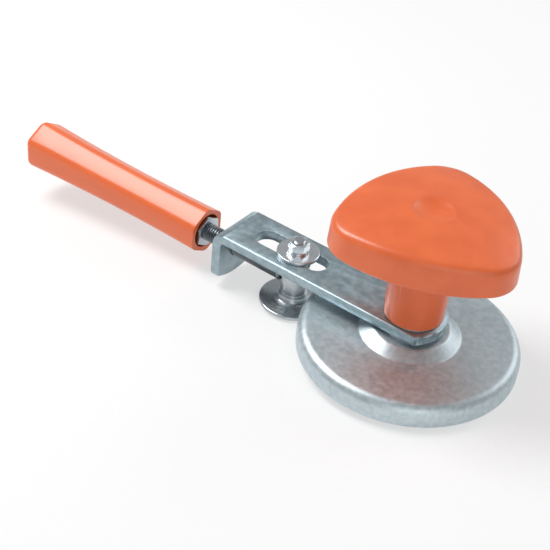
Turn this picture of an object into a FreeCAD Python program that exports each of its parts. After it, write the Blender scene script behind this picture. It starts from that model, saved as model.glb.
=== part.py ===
import FreeCAD, Part
import math
import os

# Screw-feed jar seamer: a press disc under a palm knob, a lever that turns round the
# disc's axis, and a seaming roller that a screw in the grip feeds in under the rim.
# Millimetres. The disc's axis is Z, its rim stands at z = 0, and the lever runs to -X.

V = FreeCAD.Vector
UP = V(0, 0, 1)
ALONG = V(1, 0, 0)
ACROSS = V(0, 1, 0)
FULL_TURN = 360.0
SIDES = 6                    # of a hexagon
CHAMFER_SLOPE = 30.0         # of the turned-off corners of a nut
SPLIT_SLANT = 30.0           # of the cut through a spring washer
SAME_POINT = 1e-6

# ---- running gaps -------------------------------------------------------------------
TURN_CLEAR = 0.05            # radial clearance of a turning or sliding fit
FACE_CLEAR = 0.1             # gap between flat faces that rub
HOLE_CLEAR = 0.3             # clearance of a hole that only lets a fastener through

# ---- press disc ---------------------------------------------------------------------
SHEET = 2.2                  # thickness of the stamped sheet
DISC_RADIUS = 45.3
DISC_TOP = 9.7               # top of the flat ring above the rim's edge
SHOULDER_RADIUS = 4.0
RIM_EDGE_RADIUS = 0.9
BOSS_BASE_RADIUS = 20.6
BOSS_TOP_RADIUS = 15.8
BOSS_HEIGHT = 3.6            # raised centre above the flat ring
BOSS_BLEND = 2.0

# ---- centre fasteners ---------------------------------------------------------------
BOLT_RADIUS = 4.0            # M8
BOLT_LENGTH = 22.0
BOLT_HEAD_FLATS = 13.0
BOLT_HEAD_HEIGHT = 4.0
FLAT_WASHER_RADIUS = 8.0
FLAT_WASHER_THICK = 1.2
BUSH_RADIUS = 7.0
LOWER_THRUST_RADIUS = 12.0
UPPER_THRUST_RADIUS = 11.3
THRUST_THICK = 1.0

# ---- lever --------------------------------------------------------------------------
LEVER_THICK = 4.5
LEVER_WIDTH = 25.4
LEVER_END = 13.6             # reach of the end beyond the disc's axis
LEVER_END_CORNER = 8.0       # reach of that end's two corners, joined by an arc
LEVER_CORNER_ROUND = 1.5
LEVER_REACH = 93.0           # disc axis to the outer face of the turned-down end
BEND_INSIDE_RADIUS = 1.5
FLANGE_BOTTOM = -6.2         # lowest point of the turned-down end's rounded edge
FLANGE_CORNER = -3.0         # height of that edge's two corners
LEVER_EDGE_BREAK = 0.5
SLOT_INNER = 42.6            # disc axis to the slot's near end
SLOT_LENGTH = 35.4
SLOT_WIDTH = 10.8

# ---- slider that carries the roller -------------------------------------------------
ROLLER_REACH = 57.2          # disc axis to the roller's axis at rest
AXLE_RADIUS = 5.8
AXLE_FOOT = 0.5              # height of the axle body's lower face
JOURNAL_RADIUS = 3.0
STUD_RADIUS = 2.5            # M5
STUD_ABOVE_NUT = 0.8
SLIDE_WASHER_RADIUS = 9.1
SLIDE_WASHER_THICK = 1.5
SLIDE_LOCK_RADIUS = 4.4
SLIDE_LOCK_THICK = 1.0
SLIDE_LOCK_SPLIT = 1.2
SLIDE_NUT_FLATS = 8.0
SLIDE_NUT_HEIGHT = 3.6
AXLE_EDGE_BREAK = 0.4

# ---- seaming roller -----------------------------------------------------------------
ROLLER_NECK_RADIUS = 5.8
ROLLER_RADIUS = 14.6
ROLLER_BOTTOM = -6.2
ROLLER_NECK_FOOT = -0.8      # where the straight neck meets the hollow of the groove
ROLLER_LIP_THICK = 2.4
ROLLER_LIP_RADIUS = 1.1
ROLLER_BUSH_RADIUS = 4.4
ROLLER_RECESS_RADIUS = 6.0
ROLLER_RECESS_DEPTH = 2.3
ROLLER_WASHER_RADIUS = 5.2
ROLLER_WASHER_THICK = 0.8
ROLLER_SCREW_RADIUS = 1.5
ROLLER_SCREW_HEAD_RADIUS = 3.4
ROLLER_SCREW_LENGTH = 7.5

# ---- feed screw ---------------------------------------------------------------------
SCREW_RADIUS = 4.0           # M8
SCREW_HEIGHT = 6.2           # height of the screw's axis
SCREW_NOSE_RADIUS = 2.5
SCREW_NOSE_LENGTH = 7.0
SCREW_TIP_CHAMFER = 0.6
NOSE_GROOVE_RADIUS = 1.5
NOSE_GROOVE_WIDTH = 2.2
NOSE_GROOVE_START = 3.0      # shoulder to the near side of the groove
RETAINING_PIN_RADIUS = 1.0

# ---- grip ---------------------------------------------------------------------------
GRIP_MOUTH = 106.0           # disc axis to the grip's open end at rest
GRIP_LENGTH = 102.5
GRIP_MOUTH_FLATS = 19.4
GRIP_WAIST_FLATS = 18.8
GRIP_END_FLATS = 22.2
GRIP_WAIST_AT = 40.0         # open end to the narrowest section
GRIP_CORNER_RADIUS = 4.2
GRIP_END_ROUND = 3.0
GRIP_WALL_INSIDE = 7.9       # radius of the hollow inside the grip
GRIP_HOLLOW_DEPTH = 58.0
GRIP_CORE_RADIUS = 6.0       # tube in the middle that takes the screw
GRIP_CORE_RECESS = 3.4       # core's face lies this far inside the open end
GRIP_WEB = 1.6               # thickness of the webs between core and wall
GRIP_WEBS = 3
GRIP_SCREW_DEPTH = 44.0      # screw's engagement, from the core's face
LOCK_NUT_FLATS = 13.0
LOCK_NUT_HEIGHT = 4.0
LOCK_WASHER_RING_RADIUS = 6.6
LOCK_WASHER_RING_THICK = 0.8
CAPTIVE_NUT_FLATS = 13.0
CAPTIVE_NUT_LENGTH = 6.5
CAPTIVE_BLOCK_LENGTH = 12.0  # solid end of the core that holds the captive nut

# ---- palm knob ----------------------------------------------------------------------
STEM_FOOT_RADIUS = 12.1
STEM_HEAD_RADIUS = 13.0
HEAD_BOTTOM = 54.0
HEAD_EDGE = 65.6             # top of the side band
HEAD_TOP = 69.6
HEAD_SIDE_REACH = 32.0       # axis to the middle of each of the three sides
HEAD_CORNER_REACH = 39.5     # axis to each rounded corner
HEAD_CORNER_RADIUS = 15.2
HEAD_TURN = -70.0            # direction that one side faces, from +X
HEAD_DRAFT = 0.8             # how much narrower the band is at its top
HEAD_WALL = 3.0
HEAD_TOP_WALL = 4.0
HEAD_TOP_ROUND = 3.2
HEAD_BOTTOM_ROUND = 1.2
HEAD_RIBS = 6
HEAD_RIB_THICK = 2.4
DIMPLE_RADIUS = 9.5
DIMPLE_DEPTH = 2.2
INSERT_FLATS = 13.0
INSERT_LENGTH = 13.0
INSERT_HOLE_SPARE = 1.5      # free depth beyond the insert for the bolt's end
CORNERS = 3

# ---- levels that follow from the sizes above -----------------------------------------
BOSS_TOP = DISC_TOP + BOSS_HEIGHT
BOSS_UNDER = BOSS_TOP - SHEET
LEVER_BOTTOM = BOSS_TOP + THRUST_THICK + FACE_CLEAR
LEVER_TOP = LEVER_BOTTOM + LEVER_THICK
BUSH_TOP = LEVER_TOP + FACE_CLEAR
STEM_FOOT = BUSH_TOP + THRUST_THICK
BOLT_SEAT = BOSS_UNDER - FLAT_WASHER_THICK
GUIDE_TOP = LEVER_TOP + FACE_CLEAR
AXLE_TOP = LEVER_BOTTOM - FACE_CLEAR
SLIDE_LOCK_FOOT = GUIDE_TOP + SLIDE_WASHER_THICK
SLIDE_NUT_FOOT = SLIDE_LOCK_FOOT + SLIDE_LOCK_THICK
ROLLER_TOP = AXLE_FOOT - FACE_CLEAR
ROLLER_RECESS_ROOF = ROLLER_BOTTOM + ROLLER_RECESS_DEPTH
JOURNAL_END = ROLLER_RECESS_ROOF - FACE_CLEAR
ROLLER_SCREW_SEAT = JOURNAL_END - ROLLER_WASHER_THICK
SCREW_SHOULDER = ROLLER_REACH + AXLE_RADIUS + FACE_CLEAR
PIN_REACH = SCREW_SHOULDER - NOSE_GROOVE_START - NOSE_GROOVE_WIDTH / 2
PIN_HEIGHT = SCREW_HEIGHT + NOSE_GROOVE_RADIUS + TURN_CLEAR + RETAINING_PIN_RADIUS
GRIP_CORE_FACE = GRIP_MOUTH + GRIP_CORE_RECESS
SCREW_END = GRIP_CORE_FACE + GRIP_SCREW_DEPTH


def rounded_wire(corners, place):
    """Closed wire through corners (a, b, radius), with tangent arcs where radius > 0."""
    count = len(corners)
    joins = []
    for i in range(count):
        a, b, radius = corners[i]
        here = V(a, b, 0)
        before = V(corners[i - 1][0], corners[i - 1][1], 0) - here
        after = V(corners[(i + 1) % count][0], corners[(i + 1) % count][1], 0) - here
        if radius <= 0:
            joins.append((here, None, here))
            continue
        before.normalize()
        after.normalize()
        half = before.getAngle(after) / 2
        reach = radius / math.tan(half)
        middle = before + after
        middle.normalize()
        tip = here + middle * (radius / math.sin(half) - radius)
        joins.append((here + before * reach, tip, here + after * reach))
    edges = []
    for i, (start, tip, end) in enumerate(joins):
        if tip is not None:
            edges.append(Part.Arc(place(start), place(tip), place(end)).toShape())
        following = joins[(i + 1) % count][0]
        if (following - end).Length > SAME_POINT:
            edges.append(Part.makeLine(place(end), place(following)))
    return Part.Wire(edges)


def turned(corners, x=0.0):
    """Solid of revolution about the vertical line at x, from corners (r, z, radius)."""
    wire = rounded_wire(corners, lambda p: V(x + p.x, 0, p.y))
    return Part.Face(wire).revolve(V(x, 0, 0), UP, FULL_TURN)


def turned_along(corners):
    """Solid of revolution about the screw's axis, from corners (distance, r, radius)."""
    wire = rounded_wire(corners, lambda p: V(-p.x, 0, SCREW_HEIGHT + p.y))
    return Part.Face(wire).revolve(V(0, 0, SCREW_HEIGHT), ALONG, FULL_TURN)


def post(radius, bottom, top, x=0.0):
    """Upright cylinder between two heights."""
    return Part.makeCylinder(radius, top - bottom, V(x, 0, bottom), UP)


def rod(radius, near, far):
    """Cylinder on the screw's axis between two distances from the disc's axis."""
    return Part.makeCylinder(radius, far - near, V(-near, 0, SCREW_HEIGHT), -ALONG)


def ring(outer, inner, bottom, thick, x=0.0):
    """Flat washer round a vertical axis."""
    return post(outer, bottom, bottom + thick, x).cut(post(inner, bottom, bottom + thick, x))


def split_ring(outer, inner, bottom, thick, split, x=0.0):
    """Spring lock washer: a flat ring with a slanted cut through one side."""
    body = ring(outer, inner, bottom, thick, x)
    gap = Part.makeBox(outer, split, 3 * thick, V(x, -split / 2, bottom - thick))
    gap.rotate(V(x, 0, bottom + thick / 2), ALONG, SPLIT_SLANT)
    return body.cut(gap)


def hexagon(flats, start, axis, length):
    """Hexagonal prism of a width across flats, from start along axis."""
    radius = flats / 2 / math.cos(math.pi / SIDES)
    frame = FreeCAD.Rotation(UP, axis)
    points = []
    for i in range(SIDES + 1):
        angle = 2 * math.pi * i / SIDES
        points.append(start + frame.multVec(V(radius * math.cos(angle), radius * math.sin(angle), 0)))
    return Part.Face(Part.makePolygon(points)).extrude(axis * length)


def domed_hexagon(flats, start, axis, length):
    """Nut or bolt head whose corners are turned off on its outer face."""
    radius = flats / 2 / math.cos(math.pi / SIDES)
    spare = radius - flats / 2
    drop = spare * math.tan(math.radians(CHAMFER_SLOPE))
    blunt = Part.makeCylinder(radius, length - drop, start, axis)
    crown = Part.makeCone(radius, flats / 2, drop, start + axis * (length - drop), axis)
    return hexagon(flats, start, axis, length).common(blunt.fuse(crown))


def press_disc():
    """Stamped pan with a raised centre, open below, that sits on the lid."""
    slope = math.atan2(BOSS_HEIGHT, BOSS_BASE_RADIUS - BOSS_TOP_RADIUS)
    inward = SHEET * math.tan(slope / 2)
    hole = BOLT_RADIUS + HOLE_CLEAR
    under = DISC_TOP - SHEET
    inner_shoulder = max(SHOULDER_RADIUS - SHEET, RIM_EDGE_RADIUS)
    return turned([
        (hole, BOSS_TOP, 0),
        (BOSS_TOP_RADIUS, BOSS_TOP, BOSS_BLEND),
        (BOSS_BASE_RADIUS, DISC_TOP, BOSS_BLEND),
        (DISC_RADIUS, DISC_TOP, SHOULDER_RADIUS),
        (DISC_RADIUS, 0, RIM_EDGE_RADIUS),
        (DISC_RADIUS - SHEET, 0, 0),
        (DISC_RADIUS - SHEET, under, inner_shoulder),
        (BOSS_BASE_RADIUS - inward, under, BOSS_BLEND),
        (BOSS_TOP_RADIUS - inward, BOSS_UNDER, BOSS_BLEND),
        (hole, BOSS_UNDER, 0),
    ])


def centre_bolt():
    """Hexagon bolt from below, through disc and bush into the knob's insert."""
    head = domed_hexagon(BOLT_HEAD_FLATS, V(0, 0, BOLT_SEAT), -UP, BOLT_HEAD_HEIGHT)
    shank = turned([
        (0, BOLT_SEAT, 0),
        (BOLT_RADIUS, BOLT_SEAT, 0),
        (BOLT_RADIUS, BOLT_SEAT + BOLT_LENGTH - SCREW_TIP_CHAMFER, 0),
        (BOLT_RADIUS - SCREW_TIP_CHAMFER, BOLT_SEAT + BOLT_LENGTH, 0),
        (0, BOLT_SEAT + BOLT_LENGTH, 0),
    ])
    return head.fuse(shank).removeSplitter()


def lever_side():
    """Bent strip seen from the side, drawn out to the lever's width."""
    outer = BEND_INSIDE_RADIUS + LEVER_THICK
    corners = [
        (LEVER_END, LEVER_BOTTOM, 0),
        (LEVER_END, LEVER_TOP, 0),
        (-LEVER_REACH, LEVER_TOP, outer),
        (-LEVER_REACH, FLANGE_BOTTOM, 0),
        (-LEVER_REACH + LEVER_THICK, FLANGE_BOTTOM, 0),
        (-LEVER_REACH + LEVER_THICK, LEVER_BOTTOM, BEND_INSIDE_RADIUS),
    ]
    wire = rounded_wire(corners, lambda p: V(p.x, -LEVER_WIDTH / 2, p.y))
    return Part.Face(wire).extrude(ACROSS * LEVER_WIDTH)


def strip_end(place, start, corner, tip):
    """Face of the strip's outline: straight sides from start to corner, then an arc to the tip."""
    half = LEVER_WIDTH / 2
    left = place(corner, -half)
    right = place(corner, half)
    return Part.Face(Part.Wire([
        Part.Arc(left, place(tip, 0), right).toShape(),
        Part.makeLine(right, place(start, half)),
        Part.makeLine(place(start, half), place(start, -half)),
        Part.makeLine(place(start, -half), left),
    ]))


def slot_cutter():
    """Long hole that the slider's guide runs in."""
    half = SLOT_WIDTH / 2
    near = -SLOT_INNER - half
    far = -SLOT_INNER - SLOT_LENGTH + half
    middle = Part.makeBox(near - far, SLOT_WIDTH, LEVER_THICK, V(far, -half, LEVER_BOTTOM))
    ends = [post(half, LEVER_BOTTOM, LEVER_TOP, x) for x in (near, far)]
    return middle.multiFuse(ends).removeSplitter()


def lever_arm():
    """Strip lever: eye at the disc's axis, slot, and a turned-down end with the screw's hole."""
    depth = LEVER_TOP - FLANGE_BOTTOM
    plan = strip_end(lambda a, b: V(a, b, FLANGE_BOTTOM), -LEVER_REACH, LEVER_END_CORNER, LEVER_END)
    front = strip_end(lambda a, b: V(-LEVER_REACH, b, a), LEVER_TOP, FLANGE_CORNER, FLANGE_BOTTOM)
    arm = lever_side().common(plan.extrude(UP * depth))
    arm = arm.common(front.extrude(ALONG * (LEVER_REACH + LEVER_END)))
    half = LEVER_WIDTH / 2
    corners = [e for e in arm.Edges if abs(abs(e.CenterOfMass.y) - half) < FACE_CLEAR
               and (abs(e.CenterOfMass.x - LEVER_END_CORNER) < FACE_CLEAR
                    or abs(e.CenterOfMass.z - FLANGE_CORNER) < FACE_CLEAR)]
    arm = arm.makeFillet(LEVER_CORNER_ROUND, corners)
    arm = arm.cut(post(BUSH_RADIUS + TURN_CLEAR, LEVER_BOTTOM, LEVER_TOP))
    arm = arm.cut(slot_cutter())
    arm = arm.cut(rod(SCREW_RADIUS + TURN_CLEAR, LEVER_REACH - LEVER_THICK, LEVER_REACH))
    rims = [e for e in arm.Edges if abs(abs(e.CenterOfMass.y) - half) < FACE_CLEAR
            and e.BoundBox.XLength > LEVER_REACH / 2]
    return arm.makeChamfer(LEVER_EDGE_BREAK, rims)


def roller_axle():
    """Turned slider: stud and slot guide above, body that takes the screw's nose, journal below."""
    guide = SLOT_WIDTH / 2 - FACE_CLEAR
    top = SLIDE_NUT_FOOT + SLIDE_NUT_HEIGHT + STUD_ABOVE_NUT
    axle = turned([
        (0, top, 0),
        (STUD_RADIUS - SCREW_TIP_CHAMFER, top, 0),
        (STUD_RADIUS, top - SCREW_TIP_CHAMFER, 0),
        (STUD_RADIUS, GUIDE_TOP, 0),
        (guide, GUIDE_TOP, 0),
        (guide, AXLE_TOP, 0),
        (AXLE_RADIUS - AXLE_EDGE_BREAK, AXLE_TOP, 0),
        (AXLE_RADIUS, AXLE_TOP - AXLE_EDGE_BREAK, 0),
        (AXLE_RADIUS, AXLE_FOOT + AXLE_EDGE_BREAK, 0),
        (AXLE_RADIUS - AXLE_EDGE_BREAK, AXLE_FOOT, 0),
        (JOURNAL_RADIUS, AXLE_FOOT, 0),
        (JOURNAL_RADIUS, JOURNAL_END, 0),
        (0, JOURNAL_END, 0),
    ], -ROLLER_REACH)
    nose_end = SCREW_SHOULDER - SCREW_NOSE_LENGTH - FACE_CLEAR
    axle = axle.cut(rod(SCREW_NOSE_RADIUS + TURN_CLEAR, nose_end, ROLLER_REACH + AXLE_RADIUS))
    axle = axle.cut(retaining_pin_blank(AXLE_RADIUS))
    screw_hole = post(ROLLER_SCREW_RADIUS, JOURNAL_END,
                      ROLLER_SCREW_SEAT + ROLLER_SCREW_LENGTH + FACE_CLEAR, -ROLLER_REACH)
    return axle.cut(screw_hole)


def retaining_pin_blank(half_length):
    """Cylinder across the axle body, over the groove of the screw's nose."""
    start = V(-PIN_REACH, -half_length, PIN_HEIGHT)
    return Part.makeCylinder(RETAINING_PIN_RADIUS, 2 * half_length, start, ACROSS)


def retaining_pin():
    """Cross pin that lets the screw's nose turn but not leave the axle."""
    offset = ROLLER_REACH - PIN_REACH
    return retaining_pin_blank(math.sqrt(AXLE_RADIUS ** 2 - offset ** 2) - AXLE_EDGE_BREAK)


def slide_nut():
    """Nut on the axle's stud, which holds the slider up to the lever."""
    start = V(-ROLLER_REACH, 0, SLIDE_NUT_FOOT)
    nut = domed_hexagon(SLIDE_NUT_FLATS, start, UP, SLIDE_NUT_HEIGHT)
    return nut.cut(post(STUD_RADIUS, SLIDE_NUT_FOOT, SLIDE_NUT_FOOT + SLIDE_NUT_HEIGHT, -ROLLER_REACH))


def roller():
    """Seaming roller: straight neck, hollow groove and a wide lower lip, recessed below."""
    lip_top = ROLLER_BOTTOM + ROLLER_LIP_THICK
    groove = ROLLER_NECK_FOOT - lip_top
    return turned([
        (ROLLER_BUSH_RADIUS, ROLLER_TOP, 0),
        (ROLLER_NECK_RADIUS - AXLE_EDGE_BREAK, ROLLER_TOP, 0),
        (ROLLER_NECK_RADIUS, ROLLER_TOP - AXLE_EDGE_BREAK, 0),
        (ROLLER_NECK_RADIUS, lip_top, groove),
        (ROLLER_RADIUS, lip_top - AXLE_EDGE_BREAK, ROLLER_LIP_RADIUS - AXLE_EDGE_BREAK),
        (ROLLER_RADIUS, ROLLER_BOTTOM, ROLLER_LIP_RADIUS),
        (ROLLER_RECESS_RADIUS, ROLLER_BOTTOM, 0),
        (ROLLER_RECESS_RADIUS, ROLLER_RECESS_ROOF, 0),
        (ROLLER_BUSH_RADIUS, ROLLER_RECESS_ROOF, 0),
    ], -ROLLER_REACH)


def roller_screw():
    """Cheese-head screw that holds the roller's washer to the journal's end."""
    head = post(ROLLER_SCREW_HEAD_RADIUS, ROLLER_BOTTOM, ROLLER_SCREW_SEAT, -ROLLER_REACH)
    shank = post(ROLLER_SCREW_RADIUS, ROLLER_SCREW_SEAT, ROLLER_SCREW_SEAT + ROLLER_SCREW_LENGTH,
                 -ROLLER_REACH)
    return head.fuse(shank).removeSplitter()


def feed_screw():
    """Screw through the lever's turned-down end: grooved nose in the axle, tail in the grip."""
    nose_end = SCREW_SHOULDER - SCREW_NOSE_LENGTH
    groove_near = SCREW_SHOULDER - NOSE_GROOVE_START
    groove_far = groove_near - NOSE_GROOVE_WIDTH
    return turned_along([
        (nose_end, 0, 0),
        (nose_end, SCREW_NOSE_RADIUS - SCREW_TIP_CHAMFER, 0),
        (nose_end + SCREW_TIP_CHAMFER, SCREW_NOSE_RADIUS, 0),
        (groove_far, SCREW_NOSE_RADIUS, 0),
        (groove_far, NOSE_GROOVE_RADIUS, 0),
        (groove_near, NOSE_GROOVE_RADIUS, 0),
        (groove_near, SCREW_NOSE_RADIUS, 0),
        (SCREW_SHOULDER, SCREW_NOSE_RADIUS, 0),
        (SCREW_SHOULDER, SCREW_RADIUS - SCREW_TIP_CHAMFER, 0),
        (SCREW_SHOULDER + SCREW_TIP_CHAMFER, SCREW_RADIUS, 0),
        (SCREW_END, SCREW_RADIUS, 0),
        (SCREW_END, 0, 0),
    ])


def grip_section(distance, flats):
    """Rounded hexagon across the grip at a distance from the disc's axis."""
    radius = flats / 2 / math.cos(math.pi / SIDES)
    corners = []
    for i in range(SIDES):
        angle = 2 * math.pi * (i + 0.5) / SIDES
        corners.append((radius * math.cos(angle), radius * math.sin(angle), GRIP_CORNER_RADIUS))
    return rounded_wire(corners, lambda p: V(-distance, p.x, SCREW_HEIGHT + p.y))


def grip():
    """Moulded grip: six soft flats, a waist, a closed end and a hollow round the core."""
    far = GRIP_MOUTH + GRIP_LENGTH
    body = Part.makeLoft([
        grip_section(GRIP_MOUTH, GRIP_MOUTH_FLATS),
        grip_section(GRIP_MOUTH + GRIP_WAIST_AT, GRIP_WAIST_FLATS),
        grip_section(far, GRIP_END_FLATS),
    ], True, False)
    rim = [e for e in body.Edges if e.BoundBox.XMax < -far + FACE_CLEAR]
    body = body.makeFillet(GRIP_END_ROUND, rim)
    hollow_end = GRIP_MOUTH + GRIP_HOLLOW_DEPTH
    core = rod(GRIP_CORE_RADIUS, GRIP_CORE_FACE, hollow_end)
    hollow = rod(GRIP_WALL_INSIDE, GRIP_MOUTH, hollow_end)
    solid_start = SCREW_END - CAPTIVE_BLOCK_LENGTH
    keep = [core, rod(GRIP_WALL_INSIDE, solid_start, hollow_end)]
    for i in range(GRIP_WEBS):
        web = Part.makeBox(hollow_end - GRIP_CORE_FACE, GRIP_WEB, GRIP_WALL_INSIDE,
                           V(-hollow_end, -GRIP_WEB / 2, SCREW_HEIGHT))
        web.rotate(V(0, 0, SCREW_HEIGHT), ALONG, FULL_TURN * i / GRIP_WEBS)
        keep.append(web)
    hollow = hollow.cut(keep[0].multiFuse(keep[1:]))
    body = body.cut(hollow)
    body = body.cut(rod(SCREW_RADIUS + TURN_CLEAR, GRIP_CORE_FACE, SCREW_END + FACE_CLEAR))
    return body.cut(captive_nut_blank())


def captive_nut_blank():
    """Pocket and outline of the nut that is moulded into the grip's core."""
    start = V(-(SCREW_END - CAPTIVE_NUT_LENGTH), 0, SCREW_HEIGHT)
    return hexagon(CAPTIVE_NUT_FLATS, start, -ALONG, CAPTIVE_NUT_LENGTH)


def captive_nut():
    """Nut moulded into the core, which ties the grip to the screw."""
    return captive_nut_blank().cut(rod(SCREW_RADIUS, GRIP_CORE_FACE, SCREW_END))


def lock_nut():
    """Thin nut on the screw, tightened against the washer on the core's face."""
    far = GRIP_CORE_FACE - LOCK_WASHER_RING_THICK
    nut = domed_hexagon(LOCK_NUT_FLATS, V(-far, 0, SCREW_HEIGHT), ALONG, LOCK_NUT_HEIGHT)
    return nut.cut(rod(SCREW_RADIUS, far - LOCK_NUT_HEIGHT, far))


def grip_washer():
    """Washer between the core's face and the lock nut."""
    near = GRIP_CORE_FACE - LOCK_WASHER_RING_THICK
    disc = rod(LOCK_WASHER_RING_RADIUS, near, GRIP_CORE_FACE)
    return disc.cut(rod(SCREW_RADIUS, near, GRIP_CORE_FACE))


def head_outline(inset, height):
    """Triangle of three bowed sides with round corners, pulled in by inset."""
    side = HEAD_SIDE_REACH - inset
    round_radius = HEAD_CORNER_RADIUS - inset
    centre = HEAD_CORNER_REACH - HEAD_CORNER_RADIUS
    lateral = centre * math.sin(math.pi / CORNERS)
    forward = centre * math.cos(math.pi / CORNERS)
    gap = side - round_radius
    back = (forward ** 2 + lateral ** 2 - gap ** 2) / (2 * (gap - forward))
    bow = side + back
    lean = math.atan2(lateral, forward + back)
    edges = []
    for i in range(CORNERS):
        side_angle = math.radians(HEAD_TURN) + 2 * math.pi * i / CORNERS
        corner_angle = side_angle + math.pi / CORNERS
        next_side = side_angle + 2 * math.pi / CORNERS

        def on_side(angle, swing):
            hub = V(-back * math.cos(angle), -back * math.sin(angle), height)
            return hub + V(bow * math.cos(angle + swing), bow * math.sin(angle + swing), 0)

        tip = centre + round_radius
        top = V(tip * math.cos(corner_angle), tip * math.sin(corner_angle), height)
        edges.append(Part.Arc(on_side(side_angle, -lean), on_side(side_angle, 0),
                              on_side(side_angle, lean)).toShape())
        edges.append(Part.Arc(on_side(side_angle, lean), top, on_side(next_side, -lean)).toShape())
    return Part.Wire(edges)


def knob_head():
    """Head of the knob: bowed triangular band under a shallow dome, with a thumb dimple."""
    band = Part.makeLoft([head_outline(0, HEAD_BOTTOM), head_outline(HEAD_DRAFT, HEAD_TOP)], True)
    drop = HEAD_TOP - HEAD_EDGE
    dome = ((HEAD_CORNER_REACH - HEAD_DRAFT) ** 2 + drop ** 2) / (2 * drop)
    head = band.common(Part.makeSphere(dome, V(0, 0, HEAD_TOP - dome)))
    top_edges = [e for e in head.Edges if e.BoundBox.ZMin > HEAD_EDGE - HEAD_DRAFT
                 and e.BoundBox.ZLength < drop and e.BoundBox.DiagonalLength > 2 * drop]
    head = head.makeFillet(HEAD_TOP_ROUND, top_edges)
    foot_edges = [e for e in head.Edges if e.BoundBox.ZMax < HEAD_BOTTOM + FACE_CLEAR]
    head = head.makeFillet(HEAD_BOTTOM_ROUND, foot_edges)
    dish = (DIMPLE_RADIUS ** 2 + DIMPLE_DEPTH ** 2) / (2 * DIMPLE_DEPTH)
    return head.cut(Part.makeSphere(dish, V(0, 0, HEAD_TOP - DIMPLE_DEPTH + dish)))


def head_hollow():
    """Space under the head, left round the stem and between its ribs."""
    roof = HEAD_EDGE - HEAD_TOP_WALL
    space = Part.Face(head_outline(HEAD_WALL + HEAD_DRAFT, HEAD_BOTTOM)).extrude(UP * (roof - HEAD_BOTTOM))
    keep = [post(STEM_HEAD_RADIUS, HEAD_BOTTOM, roof)]
    for i in range(HEAD_RIBS):
        rib = Part.makeBox(HEAD_CORNER_REACH, HEAD_RIB_THICK, roof - HEAD_BOTTOM,
                           V(0, -HEAD_RIB_THICK / 2, HEAD_BOTTOM))
        rib.rotate(V(0, 0, 0), UP, HEAD_TURN + FULL_TURN * i / HEAD_RIBS)
        keep.append(rib)
    return space.cut(keep[0].multiFuse(keep[1:]))


def palm_knob():
    """One moulding: tapered stem and hollow ribbed head, with the insert's pocket below."""
    stem = turned([
        (0, STEM_FOOT, 0),
        (STEM_FOOT_RADIUS, STEM_FOOT, 0),
        (STEM_HEAD_RADIUS, HEAD_EDGE - HEAD_TOP_WALL, 0),
        (0, HEAD_EDGE - HEAD_TOP_WALL, 0),
    ])
    knob = knob_head().cut(head_hollow()).fuse(stem)
    knob = knob.cut(hexagon(INSERT_FLATS, V(0, 0, STEM_FOOT), UP, INSERT_LENGTH))
    hole_top = STEM_FOOT + INSERT_LENGTH + INSERT_HOLE_SPARE
    return knob.cut(post(BOLT_RADIUS, STEM_FOOT, hole_top)).removeSplitter()


def knob_insert():
    """Threaded hexagon moulded into the stem's foot."""
    body = hexagon(INSERT_FLATS, V(0, 0, STEM_FOOT), UP, INSERT_LENGTH)
    return body.cut(post(BOLT_RADIUS, STEM_FOOT, STEM_FOOT + INSERT_LENGTH))


def build():
    """Every sub-part by node name."""
    bolt_hole = BOLT_RADIUS + TURN_CLEAR
    return {
        "press_disc": press_disc(),
        "palm_knob": palm_knob(),
        "knob_insert": knob_insert(),
        "centre_bolt": centre_bolt(),
        "bolt_washer": ring(FLAT_WASHER_RADIUS, bolt_hole, BOLT_SEAT, FLAT_WASHER_THICK),
        "pivot_bush": ring(BUSH_RADIUS, bolt_hole, BOSS_TOP, BUSH_TOP - BOSS_TOP),
        "lower_thrust_washer": ring(LOWER_THRUST_RADIUS, BUSH_RADIUS, BOSS_TOP, THRUST_THICK),
        "upper_thrust_washer": ring(UPPER_THRUST_RADIUS, bolt_hole, BUSH_TOP, THRUST_THICK),
        "lever_arm": lever_arm(),
        "roller_axle": roller_axle(),
        "slide_washer": ring(SLIDE_WASHER_RADIUS, STUD_RADIUS + TURN_CLEAR, GUIDE_TOP,
                             SLIDE_WASHER_THICK, -ROLLER_REACH),
        "slide_lock_washer": split_ring(SLIDE_LOCK_RADIUS, STUD_RADIUS + TURN_CLEAR, SLIDE_LOCK_FOOT,
                                        SLIDE_LOCK_THICK, SLIDE_LOCK_SPLIT, -ROLLER_REACH),
        "slide_nut": slide_nut(),
        "retaining_pin": retaining_pin(),
        "roller_washer": ring(ROLLER_WASHER_RADIUS, ROLLER_SCREW_RADIUS, ROLLER_SCREW_SEAT,
                              ROLLER_WASHER_THICK, -ROLLER_REACH),
        "roller_screw": roller_screw(),
        "feed_screw": feed_screw(),
        "grip": grip(),
        "captive_nut": captive_nut(),
        "lock_nut": lock_nut(),
        "grip_washer": grip_washer(),
        "roller": roller(),
        "roller_bush": ring(ROLLER_BUSH_RADIUS, JOURNAL_RADIUS + TURN_CLEAR, ROLLER_RECESS_ROOF,
                            ROLLER_TOP - ROLLER_RECESS_ROOF, -ROLLER_REACH),
    }


os.makedirs("parts", exist_ok=True)
for name, shape in build().items():
    shape.exportStep("parts/" + name + ".step")
    print(f"{name:18s} solids {len(shape.Solids)} valid {shape.isValid()} volume {shape.Volume:9.1f}")
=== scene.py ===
import logging
import math
from dataclasses import dataclass, field
from enum import Enum
from typing import Callable, Union

import bpy
from mathutils import Matrix, Quaternion, Vector


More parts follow.
